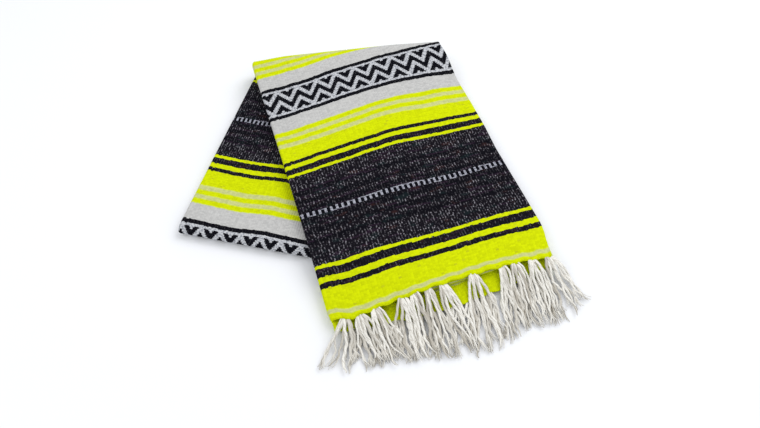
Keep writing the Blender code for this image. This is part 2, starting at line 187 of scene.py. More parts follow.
def upper_plan(s, w):
    share = w / STRIP_WIDTH
    left = rounded(LEFT_OUT, s, SIDE_ROUNDING)
    right = rounded(RIGHT_OUT, s, SIDE_ROUNDING)
    across = w - left * (1 - share) + right * share
    return HEM_LEFT + across[..., None] * WEFT + s[..., None] * WARP


def upper_levels(s, w):
    """Plan points, underside and top of the upper strip."""
    plan = upper_plan(s, w)
    from_fold = np.maximum(0.0, (fold_point(w) - plan) @ FOLD_OUT)
    hold = 1 - smooth(from_fold / FOLD_EASE)
    inside = inside_lower(plan)
    under = mix(smooth((inside + UNDER_CLEAR + DROP_UNDER) / DROP_UNDER), 1.0, hold)
    over = mix(smooth((inside + DROP_OUT) / (DROP_OUT + DROP_IN)), 1.0, hold)
    spring = 2 * fold_radius(w) - UPPER_STACK - LOWER_STACK - GAP
    lift = LOWER_STACK + GAP + spring * np.exp(-((from_fold / SPRING_LENGTH) ** 2))
    edge = np.minimum(w, STRIP_WIDTH - w)
    droop = SIDE_DROOP * (1 - smooth(edge / SIDE_DROOP_WIDTH)) * (1 - hold)
    high = lift * over + UPPER_STACK - droop
    return plan, np.minimum(lift * under, high - TUCK - LEAST_CORE), high


def ripple(s, w):
    """Small unevenness of the cloth, in metres."""
    slow = np.sin(23 * w + 9 * s + 0.6) * np.sin(17 * s - 11 * w + 1.1)
    quick = np.sin(71 * w - 33 * s) * np.sin(52 * s + 21 * w + 0.4)
    return 0.0007 * slow + 0.0003 * quick


def upper_point(s, w, depth):
    plan, low, high = upper_levels(s, w)
    share = depth / UPPER_STACK
    z = mix(high, low, share) + ripple(s, w) * (1 - share)
    return stack(plan[..., 0], plan[..., 1], z)


def fold_arc_point(turn, w, depth):
    radius = fold_radius(w)
    r = radius - depth
    plan = fold_point(w) + (r * np.sin(turn))[..., None] * FOLD_OUT
    return stack(plan[..., 0], plan[..., 1], radius + r * np.cos(turn))


def lower_plan(v, w):
    end = MIDDLE_LEFT + w[..., None] * LOWER_WEFT
    return fold_point(w) + (end - fold_point(w)) * v[..., None]


def lower_point(v, w, z):
    plan = lower_plan(v, w)
    return stack(plan[..., 0], plan[..., 1], z)


def middle_arc_point(turn, w, depth):
    reach = (middle_reach(w) - depth) * np.sin(turn)
    plan = MIDDLE_LEFT + w[..., None] * LOWER_WEFT + reach[..., None] * MIDDLE_OUT
    z = MIDDLE_RADIUS + (MIDDLE_RADIUS - depth) * np.cos(turn)
    return stack(plan[..., 0], plan[..., 1], z)


def under_hem_edge(w):
    return -UNDER_HEM_ENDS - UNDER_HEM_BULGE * np.sin(np.pi * np.clip(w / STRIP_WIDTH, 0, 1))


# The measured line of the upper hem, and its scallops between the tassels
HEM_LINE = [
    (0.000, 0.002), (0.027, -0.006), (0.052, -0.004), (0.080, -0.002), (0.113, -0.001),
    (0.143, 0.002), (0.186, 0.003), (0.229, 0.002), (0.272, 0.000), (0.310, -0.005),
    (0.320, -0.002),
]


def scallops(w, size, start):
    return size * np.cos(2 * np.pi * w / SCALLOP + start)


def hem_line(w):
    return read(HEM_LINE, w) - scallops(w, 0.0013, 0.5)


# Where the weave lies on the strips

# Near the hem the cloth is drawn together: place on the strip and place along the warp
NEAR_HEM = [
    (-0.0200, -0.0140), (0.0000, 0.0058), (0.0085, 0.0145), (0.0133, 0.0225),
    (0.0469, 0.0508), (0.0546, 0.0575), (0.0646, 0.0664), (0.0834, 0.0827),
]
# How far the stripes bow from straight lines, across the strip and by the place along it
BOW_PLACES = (0.060, 0.260, 0.320, 0.366, 0.424)
BOW = [
    (0.000, 0.0036, -0.0008, 0.0020, 0.0038, 0.0080),
    (0.020, 0.0011, -0.0017, -0.0022, 0.0005, 0.0052),
    (0.040, -0.0032, -0.0036, -0.0034, -0.0010, 0.0006),
    (0.080, -0.0038, -0.0022, -0.0026, -0.0015, -0.0032),
    (0.120, -0.0030, 0.0000, 0.0001, 0.0002, -0.0004),
    (0.160, -0.0015, 0.0004, 0.0026, 0.0009, -0.0008),
    (0.200, -0.0007, -0.0001, 0.0008, -0.0006, -0.0012),
    (0.240, -0.0005, 0.0001, -0.0037, -0.0054, -0.0035),
    (0.280, -0.0028, 0.0011, -0.0025, -0.0050, -0.0045),
    (0.320, -0.0029, 0.0011, -0.0028, -0.0056, -0.0060),
]


BOW_ROUNDING = 0.008


def bow(p, w):
    tables = [[(row[0], row[k + 1]) for row in BOW] for k in range(len(BOW_PLACES))]
    lines = [rounded(table, w, BOW_ROUNDING) for table in tables]
    total = lines[0]
    for k in range(1, len(lines)):
        low, high = BOW_PLACES[k - 1], BOW_PLACES[k]
        total = total + (lines[k] - lines[k - 1]) * smooth((p - low) / (high - low))
    return total


STRIPE_SLOPE = 0.0053  # how the stripes rise across the strip at the hem
STRIPE_FAN = 0.2075  # and how they fan out along it, for each metre across


def woven(s, w):
    """The place along the warp at s and w of the upper strip, whose stripes rise to the right."""
    aside = w - STRIP_WIDTH / 2
    p = (s - STRIPE_SLOPE * aside) / (1 + STRIPE_FAN * aside)
    p = p - bow(p, w)
    return np.where(p < NEAR_HEM[-1][0], read(NEAR_HEM, p), p)


# On the lower strip the weft is drawn together and the stripes bow
LOWER_STRETCH = 1.12
LOWER_SHIFT = 0.0023
LOWER_SPREAD = 0.975
LOWER_START = 0.0010
LOWER_BOW = 0.0050
LOWER_BOW_START = 0.075
LOWER_BOW_WIDTH = 0.050


def woven_lower(along, w):
    bowed = LOWER_BOW * smooth((w - LOWER_BOW_START) / LOWER_BOW_WIDTH)
    return BLOCK + (along - LOWER_START) * LOWER_SPREAD + bowed


def relief(u):
    """How deep the surface lies between the ribs."""
    wave = 0.5 + 0.5 * np.cos(2 * np.pi * (u - RIB_MIDDLE + RIB / 2) / RIB)
    return RIB_DEPTH * wave**RIB_ROUND


# The sections across a strip


def nose(radius, turn, steps):
    a = np.linspace(turn, 0.0, steps)
    return np.stack([radius - radius * np.sin(a), radius - radius * np.cos(a)], axis=1)


FLAT_START = 0.0005  # from the end of the turned side to the flat part's first column
LEFT_STEPS = 9
RIGHT_STEPS = 8


def rib_columns(stretch, shift):
    """Places across the flat part: at each crevice between ribs, and three between crevices."""
    step = RIB / 4
    start = RIB_MIDDLE - RIB / 2
    low = (LEFT_NOSE + FLAT_START) * stretch + shift
    high = (STRIP_WIDTH - RIGHT_NOSE - FLAT_START) * stretch + shift
    first = math.ceil((low - start) / step)
    last = math.floor((high - start) / step)
    return (start + np.arange(first, last + 1) * step - shift) / stretch


def wall_section(turn, stretch=1.0, shift=0.0):
    left = nose(LEFT_NOSE, turn, LEFT_STEPS)
    right = nose(RIGHT_NOSE, turn, RIGHT_STEPS)[::-1]
    right[:, 0] = STRIP_WIDTH - right[:, 0]
    flat = rib_columns(stretch, shift)
    return np.vstack([left, np.stack([flat, flat * 0], axis=1), right])


LEVEL = 1e-9  # a depth under this is the flat part's


def around(section):
    """Distance along the section, equal to w on its flat part."""
    steps = np.linalg.norm(np.diff(section, axis=0), axis=1)
    along = np.concatenate([[0.0], np.cumsum(steps)])
    start = np.argmax(section[:, 1] < LEVEL)
    return along - along[start] + LEFT_NOSE


def ribbed(section, u):
    """The section's depths with the ribs in them."""
    depth = section[:, 1]
    return depth + relief(u) * (depth < LEVEL)


# Meshes


def grid_object(name, points, warp, weft, material, closed=False):
    """A grid of points as a mesh whose UV map holds the place in the weave, in metres."""
    rows, columns = points.shape[:2]
    index = np.arange(rows * columns).reshape(rows, columns)
    if closed:
        index = np.concatenate([index, index[:, :1]], axis=1)
    a, b = index[:-1, :-1].ravel(), index[:-1, 1:].ravel()
    c, d = index[1:, 1:].ravel(), index[1:, :-1].ravel()
    faces = np.stack([a, b, c, d], axis=1).tolist()
    if closed:
        faces.append(index[0, :-1][::-1].tolist())
        faces.append(index[-1, :-1].tolist())
    mesh = bpy.data.meshes.new(name)
    mesh.from_pydata(points.reshape(-1, 3).tolist(), [], faces)
    uv = np.stack([weft.ravel(), warp.ravel()], axis=1)
    layer = mesh.uv_layers.new(name="weave")
    corner = np.empty(len(mesh.loops), np.int32)
    mesh.loops.foreach_get("vertex_index", corner)
    layer.data.foreach_set("uv", uv[corner].astype(np.float32).ravel())
    mesh.materials.append(material)
    mesh.shade_smooth()
    made = bpy.data.objects.new(name, mesh)
    bpy.context.scene.collection.objects.link(made)
    return made


def thicken(piece):
    cloth = piece.modifiers.new("cloth", "SOLIDIFY")
    cloth.thickness = CLOTH * SHELL_SHARE
    cloth.offset = -1.0
    cloth.use_even_offset = True
    return piece


def settle(piece, shift):
    piece.location.x, piece.location.y = float(shift[0]), float(shift[1])
    return piece


# The cloth

SHELL_SHARE = 0.94  # the shell's thickness as a share of the cloth's
UPPER_ROWS = 110
FOLD_ROWS = 20
BACK_ROWS = 15
BACK_END = 0.9  # how far the outer cloth goes back, as a share of the lower strip
LOWER_ROWS = 74
LOWER_START_SHARE = 0.006
LOWER_END_SHARE = 0.985
MIDDLE_ROWS = 20
MIDDLE_BACK = (0.97, 0.94, 0.903)
HEM_ROWS = 14
HEM_TURN = math.radians(85)
HEM_FADE = 0.020  # the hem's unevenness fades over this length
HEM_INSIDE = 0.0034  # the under hem starts this far inside the upper one
UNDER_HEM_LINE = -0.0140  # hides the under hem's pale line beneath the upper hem


def upper_rows():
    section = wall_section(NOSE_TURN)
    w, u = section[:, 0], around(section)
    depth = ribbed(section, u)
    points, warp, weft = [], [], []
    for v in np.linspace(0.0, 1.0, UPPER_ROWS + 1)[:-1]:
        s = v * fold_reach(w)
        hem = hem_line(w) * np.exp(-s / HEM_FADE)
        points.append(upper_point(s + hem, w, depth))
        warp.append(woven(s, w))
        weft.append(u)
    for turn in np.linspace(0.0, math.pi, FOLD_ROWS):
        points.append(fold_arc_point(np.full_like(w, turn), w, depth))
        unrolled = fold_radius(w) * turn
        s = fold_reach(w) + unrolled * (FOLD_OUT @ WARP)
        side = u + unrolled * (FOLD_OUT @ WEFT)
        warp.append(woven(s, side))
        weft.append(side)
    run = np.linalg.norm(MIDDLE_LEFT + w[:, None] * LOWER_WEFT - fold_point(w), axis=1)
    for v in np.linspace(0.0, BACK_END, BACK_ROWS)[1:]:
        points.append(lower_point(np.full_like(w, v), w, depth))
        warp.append(woven(s + run * v, side))
        weft.append(side)
    return np.array(points), np.array(warp), np.array(weft)


def lower_rows():
    points, warp, weft = [], [], []

    def place(row, section, along):
        points.append(row)
        warp.append(woven_lower(along, section[:, 0]))
        weft.append(around(section) * LOWER_STRETCH + LOWER_SHIFT)

    for v in np.linspace(LOWER_START_SHARE, LOWER_END_SHARE, LOWER_ROWS):
        turn = mix(NOSE_TURN, NOSE_TURN_MIDDLE, float(smooth((v - 0.80) / 0.15)))
        section = wall_section(turn, LOWER_STRETCH, LOWER_SHIFT)
        w = section[:, 0]
        depth = ribbed(section, around(section) * LOWER_STRETCH + LOWER_SHIFT)
        plan = lower_plan(np.full_like(w, v), w)
        along = (plan - BLOCK_ON_LOWER) @ MIDDLE_OUT
        uneven = ripple(plan[:, 1], plan[:, 0]) * smooth((0.9 - v) / 0.2)
        z = LOWER_STACK - depth + np.where(section[:, 1] > 0, 0.0, uneven)
        place(stack(plan[:, 0], plan[:, 1], z), section, along)
    section = wall_section(NOSE_TURN_MIDDLE, LOWER_STRETCH, LOWER_SHIFT)
    w = section[:, 0]
    depth = ribbed(section, around(section) * LOWER_STRETCH + LOWER_SHIFT)
    start = (MIDDLE_LEFT + w[:, None] * LOWER_WEFT - BLOCK_ON_LOWER) @ MIDDLE_OUT
    run = np.zeros_like(w)
    before = None
    for turn in np.linspace(0.0, math.pi, MIDDLE_ROWS):
        row = middle_arc_point(np.full_like(w, turn), w, depth)
        if before is not None:
            run = run + np.linalg.norm(row - before, axis=1)
        before = row
        place(row, section, start + run)
    for v in MIDDLE_BACK:
        row = lower_point(np.full_like(w, v), w, depth)
        place(row, section, start + run + np.linalg.norm(row - before, axis=1))
    return np.array(points)[::-1], np.array(warp)[::-1], np.array(weft)[::-1]


def hem_rows():
    section = wall_section(HEM_TURN)
    w, u = section[:, 0], around(section)
    depth = ribbed(section, u)
    points, warp, weft = [], [], []
    for v in np.linspace(1.0, 0.0, HEM_ROWS):
        edge = under_hem_edge(w) - scallops(w, 0.0012, 2.2)
        s = mix(HEM_INSIDE, edge, v)
        plan = upper_plan(np.zeros_like(w), w) + s[:, None] * WARP
        uneven = 0.5 * ripple(7 * s, w) * (section[:, 1] < LEVEL)
        z = HEM_STACK - HEM_DROOP * v - depth + uneven
        points.append(stack(plan[:, 0], plan[:, 1], z))
        warp.append(s - edge + UNDER_HEM_LINE)
        weft.append(u)
    return np.array(points), np.array(warp), np.array(weft)


# The layer edges of the stack, down each side: where each starts and ends in the depth,
# how far it stands back, and how far where the outer cloth wraps the lower half too
RIGHT_EDGES = [
    (0.00, 0.20, 0.0050, 0.0050),
    (0.21, 0.34, 0.0016, 0.0040),
    (0.35, 0.48, 0.0007, 0.0010),
    (0.50, 0.62, 0.0018, 0.0014),
    (0.63, 0.76, 0.0009, 0.0040),
    (0.77, 1.00, 0.0013, 0.0050),
]
LEFT_EDGES = [(0.00, 0.47, 0.0042, 0.0042), (0.49, 1.00, 0.0006, 0.0040)]
EDGE_TURN = 84  # degrees
BULGE = 0.0045  # the most that an edge's rounding takes
CORE_INSET = 0.014
CORE_COLUMNS = 24
CORE_START = 0.0039
CORE_LEAST = 0.0040
CORE_END_INSET = 0.0046
CORE_BACK = 0.004  # from the under hem's edge to the core's


def edge_section(edges, covered, steps):
    """Points (inset, share of depth) of rounded layer edges, with clefts between them."""
    found = []
    for low, high, inset, wrapped in edges:
        back = mix(inset, wrapped, covered)
        a = np.radians(np.linspace(-EDGE_TURN, EDGE_TURN, steps))
        half = (high - low) / 2
        height = half * UPPER_STACK
        for turn in a:
            bulge = min(height, BULGE) * (1 - math.cos(turn))
            found.append((back + bulge, (low + high) / 2 + half * math.sin(turn)))
    return found


def core_section(covered, least=0.0):
    flat = np.linspace(CORE_INSET, STRIP_WIDTH - CORE_INSET, CORE_COLUMNS)
    right = [(STRIP_WIDTH - max(least, i), d) for i, d in edge_section(RIGHT_EDGES, covered, 7)]
    left = [(max(least, i), d) for i, d in edge_section(LEFT_EDGES, covered, 13)][::-1]
    top = [(w, 0.0) for w in flat]
    bottom = [(w, 1.0) for w in flat[::-1]]
    return np.array(top + right + bottom + left)


def core_rows():
    section = core_section(0.0)
    w, d = section[:, 0], section[:, 1]
    points, warp, weft = [], [], []

    def place(row, along):
        points.append(row)
        warp.append(along)
        weft.append(w)

    for v in np.linspace(1.0, 0.0, 5):
        s = mix(CORE_START, under_hem_edge(w) + CORE_BACK, v)
        plan = upper_plan(np.zeros_like(w), w) + s[:, None] * WARP
        top = HEM_STACK - HEM_DROOP * v - TUCK
        place(stack(plan[:, 0], plan[:, 1], top * (1 - d)), s + 0.03)
    for v in np.linspace(0.0, 1.0, 101):
        s = np.maximum(CORE_LEAST, v * fold_reach(w))
        plan, low, high = upper_levels(s, w)
        place(stack(plan[:, 0], plan[:, 1], mix(high - TUCK * 1.08, low, d)), woven(s, w))
    start = woven(fold_reach(w), w)
    for turn in np.linspace(0.0, math.pi, 21):
        share = float(smooth(turn / math.pi))
        section = core_section(share)
        w, d = section[:, 0], section[:, 1]
        depth = mix(TUCK, mix(UPPER_STACK, LOWER_STACK - TUCK, share), d)
        place(fold_arc_point(np.full_like(w, turn), w, depth), start + FOLD_RADIUS * turn)
    start = start + FOLD_RADIUS * math.pi
    run = np.linalg.norm(MIDDLE_LEFT + w[:, None] * LOWER_WEFT - fold_point(w), axis=1)
    for v in np.linspace(0.0, 1.0, 50)[1:]:
        row = lower_point(np.full_like(w, v), w, mix(TUCK, LOWER_STACK - TUCK, d))
        place(row, start + run * v)
    section = core_section(1.0, CORE_END_INSET)
    w, d = section[:, 0], section[:, 1]
    for turn in np.radians([20, 40, 60, 75]):
        reach = (middle_reach(w) - TUCK) * math.sin(turn)
        plan = MIDDLE_LEFT + w[:, None] * LOWER_WEFT + reach[:, None] * MIDDLE_OUT
        z = MIDDLE_RADIUS + (2 * d - 1) * (MIDDLE_RADIUS - TUCK) * math.cos(turn)
        place(stack(plan[:, 0], plan[:, 1], z), start + run + reach)
    return np.array(points), np.array(warp), np.array(weft)


# The weave's material


class Nodes:
    """Builds the sums of a node material."""

    def __init__(self, name):
        self.material = bpy.data.materials.new(name)
        self.material.use_nodes = True
        self.tree = self.material.node_tree
        self.shader = self.tree.nodes["Principled BSDF"]

    def put(self, value, socket):
        if isinstance(value, (int, float)):
            socket.default_value = value
        elif isinstance(value, tuple):
            socket.default_value = (*value, 1.0)[: len(socket.default_value)]
        else:
            self.tree.links.new(value, socket)

    def math(self, operation, a, b=0.0, c=0.0):
        node = self.tree.nodes.new("ShaderNodeMath")
        node.operation = operation
        for value, socket in zip((a, b, c), node.inputs):
            self.put(value, socket)
        return node.outputs[0]

    def add(self, a, b):
        return self.math("ADD", a, b)

    def sub(self, a, b):
        return self.math("SUBTRACT", a, b)

    def mul(self, a, b):
        return self.math("MULTIPLY", a, b)

    def div(self, a, b):
        return self.math("DIVIDE", a, b)

    def size(self, a):
        return self.math("ABSOLUTE", a)

    def under(self, a, limit):
        """1 where a is under the limit."""
        return self.math("LESS_THAN", a, limit)

    def over(self, a, limit):
        return self.math("GREATER_THAN", a, limit)

    def between(self, a, low, high):
        return self.mul(self.over(a, low), self.under(a, high))

    def ramp(self, a, low, high):
        """A soft step of a from low to high."""
        node = self.tree.nodes.new("ShaderNodeMapRange")
        node.interpolation_type = "SMOOTHSTEP"
        self.put(a, node.inputs["Value"])
        node.inputs["From Min"].default_value = low
        node.inputs["From Max"].default_value = high
        return node.outputs["Result"]

    def triangle(self, a):
        """A wave from -1 to 1 with period 1."""
        return self.sub(self.mul(self.math("PINGPONG", a, 0.5), 4.0), 1.0)

    def blend(self, share, a, b):
        node = self.tree.nodes.new("ShaderNodeMix")
        node.data_type = "RGBA"
        self.put(share, node.inputs["Factor"])
        self.put(a, node.inputs[6])
        self.put(b, node.inputs[7])
        return node.outputs[2]

    def point(self, x, y, z=0.0):
        node = self.tree.nodes.new("ShaderNodeCombineXYZ")
        for value, socket in zip((x, y, z), node.inputs):
            self.put(value, socket)
        return node.outputs[0]

    def chance(self, x, y, z=0.0):
        """A random number for each whole-number place."""
        node = self.tree.nodes.new("ShaderNodeTexWhiteNoise")
        node.noise_dimensions = "3D"
        self.put(self.point(x, y, z), node.inputs["Vector"])
        return node.outputs["Value"]

    def noise(self, place, scale, detail=2.0):
        node = self.tree.nodes.new("ShaderNodeTexNoise")
        self.put(place, node.inputs["Vector"])
        node.inputs["Scale"].default_value = scale
        node.inputs["Detail"].default_value = detail
        return node.outputs["Fac"]


YELLOW = (0.572, 0.660, 0.002)
YELLOW_DEEP = (0.480, 0.550, 0.002)
OLIVE = (0.30, 0.26, 0.02)
CHARCOAL = (0.0072, 0.0060, 0.0092)
# the light fibres' colour, also used as a painted highlight on the charcoal ribs' crowns
SPECKLE_HIGHLIGHT = (0.300, 0.290, 0.320)
BLACK = (0.0035, 0.0035, 0.0060)
WHITE = (0.490, 0.487, 0.474)
WHITE_DEEP = (0.405, 0.403, 0.395)
BAND_WHITE = (0.52, 0.53, 0.55)
BAND_DEEP = (0.22, 0.23, 0.26)
DASHES = (0.37, 0.38, 0.43)
DASHES_DEEP = (0.11, 0.11, 0.14)
PALE = (0.52, 0.55, 0.22)
PALE_DEEP = (0.43, 0.46, 0.19)
TEAL = (0.008, 0.017, 0.019)
RUST = (0.034, 0.014, 0.014)
PLUM = (0.024, 0.012, 0.026)

# Stripes on each side of a charcoal block's middle: start in metres, and colour
STRIPES = [
    (0.0000, "charcoal"), (0.0805, "yellow"), (0.0857, "line"), (0.0966, "yellow"),
    (0.1044, "line"), (0.1115, "yellow"), (0.1400, "pale"), (0.1478, "yellow"),
    (0.1566, "pale"), (0.1637, "yellow"), (0.1728, "white"), (0.1999, "black"),
    (0.2067, "white"),
]
LAST_LINE = 0.1115  # beyond this the other colours lie on yellow
SOFT = 0.0013  # half the width in which the light colours change
HEM_MARGIN = 0.0090  # the weave keeps the yellow of this place down to the hem
# Darker bands in the charcoal: distance from the white dashes and half the width
DARK_BANDS = [(0.0, 0.0070), (0.0115, 0.0046), (0.0273, 0.0044), (0.0445, 0.0040)]
BANDS_MIDDLE = 0.00245  # the dark bands' middle beside the block's
DASH = 0.0035  # the dashes' middle beside the block's
DASH_HALF = 0.0042
DASH_WIDE = 0.44  # half a dash's width, as a share of a rib
JOIN = 0.0014
JOINED = 0.34  # share of the dashes joined at one end, and again at the other
ZIGZAG_RIBS = 8  # ribs to a zigzag
ZIGZAG_RISE = 0.0110
ZIGZAG_SHIFT = 0.0006
ZIGZAG_REPEAT = 0.0222  # from one black stroke to the next, upright
BAND_HALF = 0.0264  # half the zigzag's band, whose white is bluish
STROKE = 0.0061  # half a stroke's upright thickness
STROKES_END = 0.0222  # strokes beside the zigzag are cut off this far from its middle


# One draw of random numbers each
RIB_DRAW = 11.0
JOG_DRAW = 17.0
JOIN_DRAW = 21.0
STREAK_DRAW = 31.0
LENGTHS_DRAW = 5.0
LENGTH_DRAW = 1.3
TONE_DRAW = 3.7
TINT_DRAW = 3.0
HATCH_DRAW = 5.0
FLECK_DRAW = 7.0
# The yarn's unevenness. A pair is where a soft step starts and ends
WANDER = 0.0034  # how far the picks wander, for each unit of noise
WANDER_SCALE = 14.0
RIB_WANDER = 0.0007
FIBRE_SCALE = 1100.0
FIBRE_SPREAD = 1.6
FLECK_SCALE = 420.0
FLECK_SPREAD = 0.8
FLECK = (0.40, 0.66)
GRAIN = (0.25, 0.80)
GRAIN_STITCH = 0.45  # the stitches' share in the grain, beside the fibres'
OLIVE_CHANCE = 0.985
OLIVE_SHARE = 0.35
MOTTLE_SCALE = 330.0
MOTTLE = 0.24
# The charcoal: streaks of light fibres kept to the ribs' crowns, partly real fleck and partly
# painted highlight, clouds of them, and lengths of other colours
CROWN_HIGHLIGHT = (0.30, 0.04)
CROWN_STRAY = 0.5
HATCH_SCALE = 300.0
HATCH_SPREAD = 0.8
HATCH = (0.46, 0.66)
CLOUD_SCALE = 45.0
CLOUD_LEAST = 0.10
CLOUD = 0.95
RIB_LEAST = 0.70
RIB_VARIES = 0.60
DOT_CHANCE = 0.90
DOT = (0.55, 0.25)
DOT_LEAST = 0.35
DOT_VARIES = 0.6
LINE_DIM = 0.65
DARK_COLOUR = 0.75
DARK_DIM = 0.70
DARK_EDGE = 0.25  # half the soft edge of a dark band, as a share of its half width
TINT_SCALE = 95.0
TINT_SPREAD = 0.4
TINTS = {"rust": 0.7, "teal": 0.6, "plum": 0.6}  # how strong each colour is
RUST_AT = (0.60, 0.72)
TEAL_AT = (0.42, 0.32)
LENGTH = 0.019
LENGTHS_SHIFT = 3.0
PLUM_CHANCE = 0.90
# The relief of a stitch, and the painted shade in the crevices between stitches
PILLOW_RIB = 3.2
PILLOW_PICK = 2.6
PILLOW_FIBRE = 0.30
# painted shade in the crevices: where it starts and ends on the pillow's height, its darkest
# share, and how much less it darkens the light colours
CREVICE_SHADE = (0.10, 0.80)
CREVICE_SHADE_LEAST = 0.78
CREVICE_SHADE_EASED = 0.17
BUMP = 0.6
BUMP_HEIGHT = 0.0007
BUMP_LIGHT = 0.55


def weave_material(name):
    n = Nodes(name)
    uv = n.tree.nodes.new("ShaderNodeUVMap")
    uv.uv_map = "weave"
    split = n.tree.nodes.new("ShaderNodeSeparateXYZ")
    n.tree.links.new(uv.outputs[0], split.inputs[0])
    u, v = split.outputs[0], split.outputs[1]
    place = n.point(u, v)

    # The weave is a little uneven, and each rib has its own way
    rib = n.add(n.div(n.sub(u, RIB_MIDDLE), RIB), 0.5)
    column = n.math("FLOOR", rib)
    odd = n.math("PINGPONG", column, 1.0)
    v = n.add(v, n.mul(n.sub(n.noise(place, WANDER_SCALE, 3.0), 0.5), WANDER))
    v = n.add(v, n.mul(n.sub(n.chance(column, RIB_DRAW), 0.5), RIB_WANDER))
    jog = n.mul(n.chance(column, JOG_DRAW), JOG)
    pick = n.add(n.div(v, PICK), jog)
    row = n.math("FLOOR", pick)
    # Half a pick carries its colour across a whole rib, which makes the stripes' edges uneven
    half_row = n.math("FLOOR", n.mul(pick, 2.0))
    v_stitch = n.mul(n.sub(n.mul(n.add(half_row, 0.5), 0.5), jog), PICK)

    # Distance from the zigzag's middle, with its sign, and from the charcoal block's middle
    def from_zigzag(along):
        turns = n.div(n.sub(along, BLOCK), PERIOD)
        return n.mul(n.sub(n.math("FRACT", turns), 0.5), PERIOD)

    d = n.sub(PERIOD / 2, n.size(from_zigzag(n.math("MAXIMUM", v_stitch, HEM_MARGIN))))
    soft_d = n.sub(PERIOD / 2, n.size(from_zigzag(n.math("MAXIMUM", v, HEM_MARGIN))))
    masks = {"yellow": 0.0, "pale": 0.0, "white": 0.0, "black": 0.0, "line": 0.0}
    ends = [stripe[0] for stripe in STRIPES[1:]] + [PERIOD]
    for (start, kind), end in zip(STRIPES, ends):
        if kind == "charcoal":
            continue
        if kind == "pale":
            rise = n.ramp(soft_d, start - SOFT, start + SOFT)
            inside = n.mul(rise, n.ramp(soft_d, end + SOFT, end - SOFT))
        elif kind == "white":
            inside = n.ramp(soft_d, start - SOFT, start + SOFT)
        else:
            inside = n.between(d, start, end)
        masks[kind] = n.math("MAXIMUM", masks[kind], inside)
    masks["yellow"] = n.math("MAXIMUM", masks["yellow"], n.over(d, LAST_LINE))

    # The zigzag and the strokes beside it, stepping twice to a rib
    half_column = n.sub(n.div(n.math("FLOOR", n.mul(rib, 2.0)), 2.0), 0.25)
    x = from_zigzag(v)
    zig = n.mul(n.triangle(n.div(half_column, ZIGZAG_RIBS)), ZIGZAG_RISE)
    off = n.add(n.div(n.sub(n.sub(x, ZIGZAG_SHIFT), zig), ZIGZAG_REPEAT), 0.5)
    off = n.size(n.sub(n.math("FRACT", off), 0.5))
    stroke = n.mul(n.under(off, STROKE / ZIGZAG_REPEAT), n.under(n.size(x), STROKES_END))
    black = n.math("MAXIMUM", masks["black"], stroke)
    in_band = n.under(n.size(x), BAND_HALF)

    # The yarn's own unevenness: stitches, fibres, and lengths of other colours
    in_rib = n.sub(n.math("FRACT", rib), 0.5)
    in_pick = n.sub(n.math("FRACT", pick), 0.5)
    speck = n.chance(column, row)
    tone = n.chance(row, column, TONE_DRAW)
    fibre = n.noise(n.point(u, n.mul(v, FIBRE_SPREAD)), FIBRE_SCALE)
    shifted = n.add(n.div(u, LENGTH), n.mul(n.chance(row, LENGTHS_DRAW), LENGTHS_SHIFT))
    length = n.chance(n.math("FLOOR", shifted), row, LENGTH_DRAW)

    # Charcoal with streaks of light fibres shown only on the ribs' crowns: partly fleck in the
    # yarn, partly a painted highlight where the crowns catch the light
    block = n.size(n.sub(n.sub(v_stitch, BLOCK), BANDS_MIDDLE))
    dark = 0.0
    for middle, half in DARK_BANDS:
        away = n.size(n.sub(block, middle))
        band = n.ramp(away, half * (1 + DARK_EDGE), half * (1 - DARK_EDGE))
        dark = n.math("MAXIMUM", dark, band)
    # painted highlight: the streaks show only on each rib's crown
    crown_highlight = n.ramp(n.size(n.add(in_rib, n.mul(n.sub(tone, 0.5), CROWN_STRAY))), *CROWN_HIGHLIGHT)
    hatch = n.ramp(n.noise(n.point(u, n.mul(v, HATCH_SPREAD), HATCH_DRAW), HATCH_SCALE), *HATCH)
    hatch = n.mul(hatch, n.add(CLOUD_LEAST, n.mul(n.noise(place, CLOUD_SCALE, 3.0), CLOUD)))
    hatch = n.mul(hatch, n.add(RIB_LEAST, n.mul(n.chance(column, STREAK_DRAW), RIB_VARIES)))
    dots = n.mul(n.over(speck, DOT_CHANCE), n.ramp(n.size(in_pick), *DOT))
    dots = n.mul(dots, n.add(DOT_LEAST, n.mul(tone, DOT_VARIES)))
    fibre_highlight = n.mul(crown_highlight, n.math("MAXIMUM", hatch, dots))
    fibre_highlight = n.mul(fibre_highlight, n.sub(1.0, n.mul(masks["line"], LINE_DIM)))
    charcoal = n.blend(n.mul(dark, DARK_COLOUR), CHARCOAL, BLACK)
    tint = n.noise(n.point(n.mul(u, TINT_SPREAD), v, TINT_DRAW), TINT_SCALE)
    charcoal = n.blend(n.mul(n.ramp(tint, *RUST_AT), TINTS["rust"]), charcoal, RUST)
    charcoal = n.blend(n.mul(n.ramp(tint, *TEAL_AT), TINTS["teal"]), charcoal, TEAL)
    charcoal = n.blend(n.mul(n.over(length, PLUM_CHANCE), TINTS["plum"]), charcoal, PLUM)
    fibre_highlight_share = n.mul(fibre_highlight, n.sub(1.0, n.mul(dark, DARK_DIM)))
    charcoal = n.blend(fibre_highlight_share, charcoal, SPECKLE_HIGHLIGHT)

    # The white dashes: every second rib, some joined to the next at an end
    along_dash = n.sub(n.sub(v, BLOCK), DASH)
    join = n.chance(n.math("FLOOR", n.div(column, 2.0)), JOIN_DRAW)
    ends_joined = n.math(
        "MAXIMUM",
        n.mul(n.under(join, JOINED), n.over(along_dash, DASH_HALF - JOIN)),
        n.mul(n.over(join, 1 - JOINED), n.under(along_dash, JOIN - DASH_HALF)),
    )
    dash = n.math("MAXIMUM", n.mul(odd, n.under(n.size(in_rib), DASH_WIDE)), ends_joined)
    dash = n.mul(dash, n.under(n.size(along_dash), DASH_HALF))
    charcoal = n.blend(n.under(n.size(along_dash), DASH_HALF), charcoal, BLACK)

